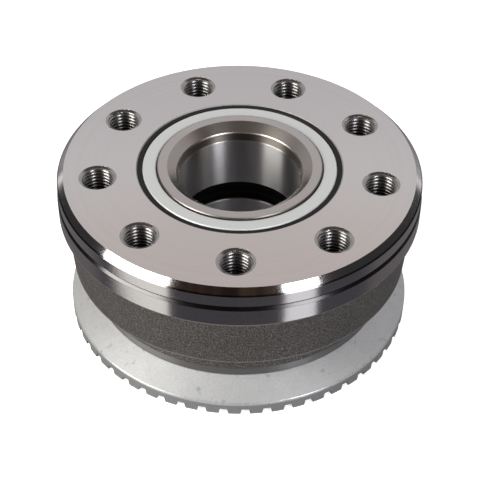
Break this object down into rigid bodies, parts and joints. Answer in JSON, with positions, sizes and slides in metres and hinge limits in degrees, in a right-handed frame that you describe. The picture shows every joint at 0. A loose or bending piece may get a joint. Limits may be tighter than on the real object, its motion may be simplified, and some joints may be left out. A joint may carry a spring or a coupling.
{
  "type": "wheel hub bearing",
  "caption": "Flanged wheel hub bearing: tapped outer ring and tone ring turning on two rows of tapered rollers around clipped inner rings, sealed at both ends.",
  "frame": {"origin": "on the axle line, at the flange face that the wheel or brake disc bolts to", "axes": "+Z along the axle, out of the flange face, away from the tone ring"},
  "size_m": [0.1808, 0.1808, 0.0846],
  "materials": {
    "turned_steel": "fine turned, light oil sheen; rough forged body between the turned bands",
    "zinc_sheet": "pale zinc plating, satin",
    "ground_steel": "ground bearing steel",
    "dark_clip": "matt black",
    "case_steel": "pressed sheet, oiled",
    "seal_rubber": "matt black rubber",
    "cage_polymer": "moulded glass-filled polymer",
    "roller_steel": "superfinished"
  },
  "bodies": {
    "outer": {"outer_ring": "turned_steel", "tone_ring": "zinc_sheet", "seal_case_outboard": "case_steel", "seal_rubber_outboard": "seal_rubber", "seal_case_inboard": "case_steel", "seal_rubber_inboard": "seal_rubber"},
    "inner": {"inner_ring_outboard": "ground_steel", "inner_ring_inboard": "ground_steel", "clip_ring": "dark_clip", "flinger_outboard": "zinc_sheet", "flinger_inboard": "zinc_sheet"},
    "outboard_cage": {"cage_outboard": "cage_polymer"},
    "outboard_roller_01": {"roller_outboard_01": "roller_steel"},
    "outboard_roller_02": {"roller_outboard_02": "roller_steel"},
    "outboard_roller_03": {"roller_outboard_03": "roller_steel"},
    "outboard_roller_04": {"roller_outboard_04": "roller_steel"},
    "outboard_roller_05": {"roller_outboard_05": "roller_steel"},
    "outboard_roller_06": {"roller_outboard_06": "roller_steel"},
    "outboard_roller_07": {"roller_outboard_07": "roller_steel"},
    "outboard_roller_08": {"roller_outboard_08": "roller_steel"},
    "outboard_roller_09": {"roller_outboard_09": "roller_steel"},
    "outboard_roller_10": {"roller_outboard_10": "roller_steel"},
    "outboard_roller_11": {"roller_outboard_11": "roller_steel"},
    "outboard_roller_12": {"roller_outboard_12": "roller_steel"},
    "outboard_roller_13": {"roller_outboard_13": "roller_steel"},
    "outboard_roller_14": {"roller_outboard_14": "roller_steel"},
    "outboard_roller_15": {"roller_outboard_15": "roller_steel"},
    "outboard_roller_16": {"roller_outboard_16": "roller_steel"},
    "outboard_roller_17": {"roller_outboard_17": "roller_steel"},
    "outboard_roller_18": {"roller_outboard_18": "roller_steel"},
    "outboard_roller_19": {"roller_outboard_19": "roller_steel"},
    "outboard_roller_20": {"roller_outboard_20": "roller_steel"},
    "inboard_cage": {"cage_inboard": "cage_polymer"},
    "inboard_roller_01": {"roller_inboard_01": "roller_steel"},
    "inboard_roller_02": {"roller_inboard_02": "roller_steel"},
    "inboard_roller_03": {"roller_inboard_03": "roller_steel"},
    "inboard_roller_04": {"roller_inboard_04": "roller_steel"},
    "inboard_roller_05": {"roller_inboard_05": "roller_steel"},
    "inboard_roller_06": {"roller_inboard_06": "roller_steel"},
    "inboard_roller_07": {"roller_inboard_07": "roller_steel"},
    "inboard_roller_08": {"roller_inboard_08": "roller_steel"},
    "inboard_roller_09": {"roller_inboard_09": "roller_steel"},
    "inboard_roller_10": {"roller_inboard_10": "roller_steel"},
    "inboard_roller_11": {"roller_inboard_11": "roller_steel"},
    "inboard_roller_12": {"roller_inboard_12": "roller_steel"},
    "inboard_roller_13": {"roller_inboard_13": "roller_steel"},
    "inboard_roller_14": {"roller_inboard_14": "roller_steel"},
    "inboard_roller_15": {"roller_inboard_15": "roller_steel"},
    "inboard_roller_16": {"roller_inboard_16": "roller_steel"},
    "inboard_roller_17": {"roller_inboard_17": "roller_steel"},
    "inboard_roller_18": {"roller_inboard_18": "roller_steel"},
    "inboard_roller_19": {"roller_inboard_19": "roller_steel"},
    "inboard_roller_20": {"roller_inboard_20": "roller_steel"}
  },
  "joints": [
    {"name": "hub_spin", "type": "hinge", "parent": "outer", "child": "inner", "pos_m": [0, 0, -0.041], "axis": [0, 0, 1], "continuous": true},
    {"name": "outboard_cage_spin", "type": "hinge", "parent": "outer", "child": "outboard_cage", "pos_m": [0, 0, -0.02104], "axis": [0, 0, 1], "continuous": true},
    {"name": "outboard_roller_01_spin", "type": "hinge", "parent": "outboard_cage", "child": "outboard_roller_01", "pos_m": [0.04034, 0.01311, -0.02104], "axis": [0.2042, 0.0664, 0.9767], "continuous": true},
    {"name": "outboard_roller_02_spin", "type": "hinge", "parent": "outboard_cage", "child": "outboard_roller_02", "pos_m": [0.03431, 0.02493, -0.02104], "axis": [0.1737, 0.1262, 0.9767], "continuous": true},
    {"name": "outboard_roller_03_spin", "type": "hinge", "parent": "outboard_cage", "child": "outboard_roller_03", "pos_m": [0.02493, 0.03431, -0.02104], "axis": [0.1262, 0.1737, 0.9767], "continuous": true},
    {"name": "outboard_roller_04_spin", "type": "hinge", "parent": "outboard_cage", "child": "outboard_roller_04", "pos_m": [0.01311, 0.04034, -0.02104], "axis": [0.0664, 0.2042, 0.9767], "continuous": true},
    {"name": "outboard_roller_05_spin", "type": "hinge", "parent": "outboard_cage", "child": "outboard_roller_05", "pos_m": [0, 0.04241, -0.02104], "axis": [0, 0.2147, 0.9767], "continuous": true},
    {"name": "outboard_roller_06_spin", "type": "hinge", "parent": "outboard_cage", "child": "outboard_roller_06", "pos_m": [-0.01311, 0.04034, -0.02104], "axis": [-0.0664, 0.2042, 0.9767], "continuous": true},
    {"name": "outboard_roller_07_spin", "type": "hinge", "parent": "outboard_cage", "child": "outboard_roller_07", "pos_m": [-0.02493, 0.03431, -0.02104], "axis": [-0.1262, 0.1737, 0.9767], "continuous": true},
    {"name": "outboard_roller_08_spin", "type": "hinge", "parent": "outboard_cage", "child": "outboard_roller_08", "pos_m": [-0.03431, 0.02493, -0.02104], "axis": [-0.1737, 0.1262, 0.9767], "continuous": true},
    {"name": "outboard_roller_09_spin", "type": "hinge", "parent": "outboard_cage", "child": "outboard_roller_09", "pos_m": [-0.04034, 0.01311, -0.02104], "axis": [-0.2042, 0.0664, 0.9767], "continuous": true},
    {"name": "outboard_roller_10_spin", "type": "hinge", "parent": "outboard_cage", "child": "outboard_roller_10", "pos_m": [-0.04241, 0, -0.02104], "axis": [-0.2147, 0, 0.9767], "continuous": true},
    {"name": "outboard_roller_11_spin", "type": "hinge", "parent": "outboard_cage", "child": "outboard_roller_11", "pos_m": [-0.04034, -0.01311, -0.02104], "axis": [-0.2042, -0.0664, 0.9767], "continuous": true},
    {"name": "outboard_roller_12_spin", "type": "hinge", "parent": "outboard_cage", "child": "outboard_roller_12", "pos_m": [-0.03431, -0.02493, -0.02104], "axis": [-0.1737, -0.1262, 0.9767], "continuous": true},
    {"name": "outboard_roller_13_spin", "type": "hinge", "parent": "outboard_cage", "child": "outboard_roller_13", "pos_m": [-0.02493, -0.03431, -0.02104], "axis": [-0.1262, -0.1737, 0.9767], "continuous": true},
    {"name": "outboard_roller_14_spin", "type": "hinge", "parent": "outboard_cage", "child": "outboard_roller_14", "pos_m": [-0.01311, -0.04034, -0.02104], "axis": [-0.0664, -0.2042, 0.9767], "continuous": true},
    {"name": "outboard_roller_15_spin", "type": "hinge", "parent": "outboard_cage", "child": "outboard_roller_15", "pos_m": [0, -0.04241, -0.02104], "axis": [0, -0.2147, 0.9767], "continuous": true},
    {"name": "outboard_roller_16_spin", "type": "hinge", "parent": "outboard_cage", "child": "outboard_roller_16", "pos_m": [0.01311, -0.04034, -0.02104], "axis": [0.0664, -0.2042, 0.9767], "continuous": true},
    {"name": "outboard_roller_17_spin", "type": "hinge", "parent": "outboard_cage", "child": "outboard_roller_17", "pos_m": [0.02493, -0.03431, -0.02104], "axis": [0.1262, -0.1737, 0.9767], "continuous": true},
    {"name": "outboard_roller_18_spin", "type": "hinge", "parent": "outboard_cage", "child": "outboard_roller_18", "pos_m": [0.03431, -0.02493, -0.02104], "axis": [0.1737, -0.1262, 0.9767], "continuous": true},
    {"name": "outboard_roller_19_spin", "type": "hinge", "parent": "outboard_cage", "child": "outboard_roller_19", "pos_m": [0.04034, -0.01311, -0.02104], "axis": [0.2042, -0.0664, 0.9767], "continuous": true},
    {"name": "outboard_roller_20_spin", "type": "hinge", "parent": "outboard_cage", "child": "outboard_roller_20", "pos_m": [0.04241, 0, -0.02104], "axis": [0.2147, 0, 0.9767], "continuous": true},
    {"name": "inboard_cage_spin", "type": "hinge", "parent": "outer", "child": "inboard_cage", "pos_m": [0, 0, -0.06096], "axis": [0, 0, 1], "continuous": true},
    {"name": "inboard_roller_01_spin", "type": "hinge", "parent": "inboard_cage", "child": "inboard_roller_01", "pos_m": [0.04034, 0.01311, -0.06096], "axis": [-0.2042, -0.0664, 0.9767], "continuous": true},
    {"name": "inboard_roller_02_spin", "type": "hinge", "parent": "inboard_cage", "child": "inboard_roller_02", "pos_m": [0.03431, 0.02493, -0.06096], "axis": [-0.1737, -0.1262, 0.9767], "continuous": true},
    {"name": "inboard_roller_03_spin", "type": "hinge", "parent": "inboard_cage", "child": "inboard_roller_03", "pos_m": [0.02493, 0.03431, -0.06096], "axis": [-0.1262, -0.1737, 0.9767], "continuous": true},
    {"name": "inboard_roller_04_spin", "type": "hinge", "parent": "inboard_cage", "child": "inboard_roller_04", "pos_m": [0.01311, 0.04034, -0.06096], "axis": [-0.0664, -0.2042, 0.9767], "continuous": true},
    {"name": "inboard_roller_05_spin", "type": "hinge", "parent": "inboard_cage", "child": "inboard_roller_05", "pos_m": [0, 0.04241, -0.06096], "axis": [0, -0.2147, 0.9767], "continuous": true},
    {"name": "inboard_roller_06_spin", "type": "hinge", "parent": "inboard_cage", "child": "inboard_roller_06", "pos_m": [-0.01311, 0.04034, -0.06096], "axis": [0.0664, -0.2042, 0.9767], "continuous": true},
    {"name": "inboard_roller_07_spin", "type": "hinge", "parent": "inboard_cage", "child": "inboard_roller_07", "pos_m": [-0.02493, 0.03431, -0.06096], "axis": [0.1262, -0.1737, 0.9767], "continuous": true},
    {"name": "inboard_roller_08_spin", "type": "hinge", "parent": "inboard_cage", "child": "inboard_roller_08", "pos_m": [-0.03431, 0.02493, -0.06096], "axis": [0.1737, -0.1262, 0.9767], "continuous": true},
    {"name": "inboard_roller_09_spin", "type": "hinge", "parent": "inboard_cage", "child": "inboard_roller_09", "pos_m": [-0.04034, 0.01311, -0.06096], "axis": [0.2042, -0.0664, 0.9767], "continuous": true},
    {"name": "inboard_roller_10_spin", "type": "hinge", "parent": "inboard_cage", "child": "inboard_roller_10", "pos_m": [-0.04241, 0, -0.06096], "axis": [0.2147, 0, 0.9767], "continuous": true},
    {"name": "inboard_roller_11_spin", "type": "hinge", "parent": "inboard_cage", "child": "inboard_roller_11", "pos_m": [-0.04034, -0.01311, -0.06096], "axis": [0.2042, 0.0664, 0.9767], "continuous": true},
    {"name": "inboard_roller_12_spin", "type": "hinge", "parent": "inboard_cage", "child": "inboard_roller_12", "pos_m": [-0.03431, -0.02493, -0.06096], "axis": [0.1737, 0.1262, 0.9767], "continuous": true},
    {"name": "inboard_roller_13_spin", "type": "hinge", "parent": "inboard_cage", "child": "inboard_roller_13", "pos_m": [-0.02493, -0.03431, -0.06096], "axis": [0.1262, 0.1737, 0.9767], "continuous": true},
    {"name": "inboard_roller_14_spin", "type": "hinge", "parent": "inboard_cage", "child": "inboard_roller_14", "pos_m": [-0.01311, -0.04034, -0.06096], "axis": [0.0664, 0.2042, 0.9767], "continuous": true},
    {"name": "inboard_roller_15_spin", "type": "hinge", "parent": "inboard_cage", "child": "inboard_roller_15", "pos_m": [0, -0.04241, -0.06096], "axis": [0, 0.2147, 0.9767], "continuous": true},
    {"name": "inboard_roller_16_spin", "type": "hinge", "parent": "inboard_cage", "child": "inboard_roller_16", "pos_m": [0.01311, -0.04034, -0.06096], "axis": [-0.0664, 0.2042, 0.9767], "continuous": true},
    {"name": "inboard_roller_17_spin", "type": "hinge", "parent": "inboard_cage", "child": "inboard_roller_17", "pos_m": [0.02493, -0.03431, -0.06096], "axis": [-0.1262, 0.1737, 0.9767], "continuous": true},
    {"name": "inboard_roller_18_spin", "type": "hinge", "parent": "inboard_cage", "child": "inboard_roller_18", "pos_m": [0.03431, -0.02493, -0.06096], "axis": [-0.1737, 0.1262, 0.9767], "continuous": true},
    {"name": "inboard_roller_19_spin", "type": "hinge", "parent": "inboard_cage", "child": "inboard_roller_19", "pos_m": [0.04034, -0.01311, -0.06096], "axis": [-0.2042, 0.0664, 0.9767], "continuous": true},
    {"name": "inboard_roller_20_spin", "type": "hinge", "parent": "inboard_cage", "child": "inboard_roller_20", "pos_m": [0.04241, 0, -0.06096], "axis": [-0.2147, 0, 0.9767], "continuous": true}
  ],
  "couplings": [
    {"joint": "outboard_cage_spin", "follows": "hub_spin", "ratio": 0.43898},
    {"joint": "outboard_roller_01_spin", "follows": "hub_spin", "ratio": -3.9416},
    {"joint": "outboard_roller_02_spin", "follows": "hub_spin", "ratio": -3.9416},
    {"joint": "outboard_roller_03_spin", "follows": "hub_spin", "ratio": -3.9416},
    {"joint": "outboard_roller_04_spin", "follows": "hub_spin", "ratio": -3.9416},
    {"joint": "outboard_roller_05_spin", "follows": "hub_spin", "ratio": -3.9416},
    {"joint": "outboard_roller_06_spin", "follows": "hub_spin", "ratio": -3.9416},
    {"joint": "outboard_roller_07_spin", "follows": "hub_spin", "ratio": -3.9416},
    {"joint": "outboard_roller_08_spin", "follows": "hub_spin", "ratio": -3.9416},
    {"joint": "outboard_roller_09_spin", "follows": "hub_spin", "ratio": -3.9416},
    {"joint": "outboard_roller_10_spin", "follows": "hub_spin", "ratio": -3.9416},
    {"joint": "outboard_roller_11_spin", "follows": "hub_spin", "ratio": -3.9416},
    {"joint": "outboard_roller_12_spin", "follows": "hub_spin", "ratio": -3.9416},
    {"joint": "outboard_roller_13_spin", "follows": "hub_spin", "ratio": -3.9416},
    {"joint": "outboard_roller_14_spin", "follows": "hub_spin", "ratio": -3.9416},
    {"joint": "outboard_roller_15_spin", "follows": "hub_spin", "ratio": -3.9416},
    {"joint": "outboard_roller_16_spin", "follows": "hub_spin", "ratio": -3.9416},
    {"joint": "outboard_roller_17_spin", "follows": "hub_spin", "ratio": -3.9416},
    {"joint": "outboard_roller_18_spin", "follows": "hub_spin", "ratio": -3.9416},
    {"joint": "outboard_roller_19_spin", "follows": "hub_spin", "ratio": -3.9416},
    {"joint": "outboard_roller_20_spin", "follows": "hub_spin", "ratio": -3.9416},
    {"joint": "inboard_cage_spin", "follows": "hub_spin", "ratio": 0.43898},
    {"joint": "inboard_roller_01_spin", "follows": "hub_spin", "ratio": -3.9416},
    {"joint": "inboard_roller_02_spin", "follows": "hub_spin", "ratio": -3.9416},
    {"joint": "inboard_roller_03_spin", "follows": "hub_spin", "ratio": -3.9416},
    {"joint": "inboard_roller_04_spin", "follows": "hub_spin", "ratio": -3.9416},
    {"joint": "inboard_roller_05_spin", "follows": "hub_spin", "ratio": -3.9416},
    {"joint": "inboard_roller_06_spin", "follows": "hub_spin", "ratio": -3.9416},
    {"joint": "inboard_roller_07_spin", "follows": "hub_spin", "ratio": -3.9416},
    {"joint": "inboard_roller_08_spin", "follows": "hub_spin", "ratio": -3.9416},
    {"joint": "inboard_roller_09_spin", "follows": "hub_spin", "ratio": -3.9416},
    {"joint": "inboard_roller_10_spin", "follows": "hub_spin", "ratio": -3.9416},
    {"joint": "inboard_roller_11_spin", "follows": "hub_spin", "ratio": -3.9416},
    {"joint": "inboard_roller_12_spin", "follows": "hub_spin", "ratio": -3.9416},
    {"joint": "inboard_roller_13_spin", "follows": "hub_spin", "ratio": -3.9416},
    {"joint": "inboard_roller_14_spin", "follows": "hub_spin", "ratio": -3.9416},
    {"joint": "inboard_roller_15_spin", "follows": "hub_spin", "ratio": -3.9416},
    {"joint": "inboard_roller_16_spin", "follows": "hub_spin", "ratio": -3.9416},
    {"joint": "inboard_roller_17_spin", "follows": "hub_spin", "ratio": -3.9416},
    {"joint": "inboard_roller_18_spin", "follows": "hub_spin", "ratio": -3.9416},
    {"joint": "inboard_roller_19_spin", "follows": "hub_spin", "ratio": -3.9416},
    {"joint": "inboard_roller_20_spin", "follows": "hub_spin", "ratio": -3.9416}
  ]
}
